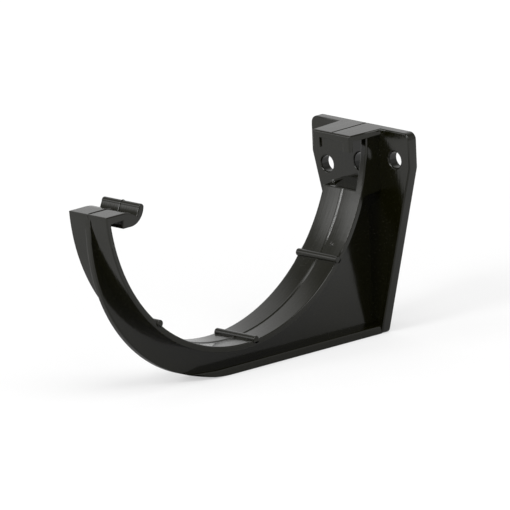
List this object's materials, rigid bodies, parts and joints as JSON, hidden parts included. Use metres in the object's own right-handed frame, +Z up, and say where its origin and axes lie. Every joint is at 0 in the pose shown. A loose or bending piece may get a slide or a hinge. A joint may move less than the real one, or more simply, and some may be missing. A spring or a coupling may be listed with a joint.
{
  "type": "gutter bracket",
  "caption": "Black one-piece plastic fascia bracket for a half-round gutter: a screwed back plate, a curved saddle on a keeled web, a rear clip and a curled front hook",
  "frame": {"origin": "centre of the middle screw hole, on the back face of the back plate", "axes": "+X out from the wall towards the front hook, +Z up, +Y along the gutter towards the side with the rear clip's side wall"},
  "size_m": [0.1252, 0.0434, 0.067],
  "materials": {
    "black_plastic": "gloss"
  },
  "bodies": {
    "root": {"bracket": "black_plastic"}
  },
  "joints": []
}
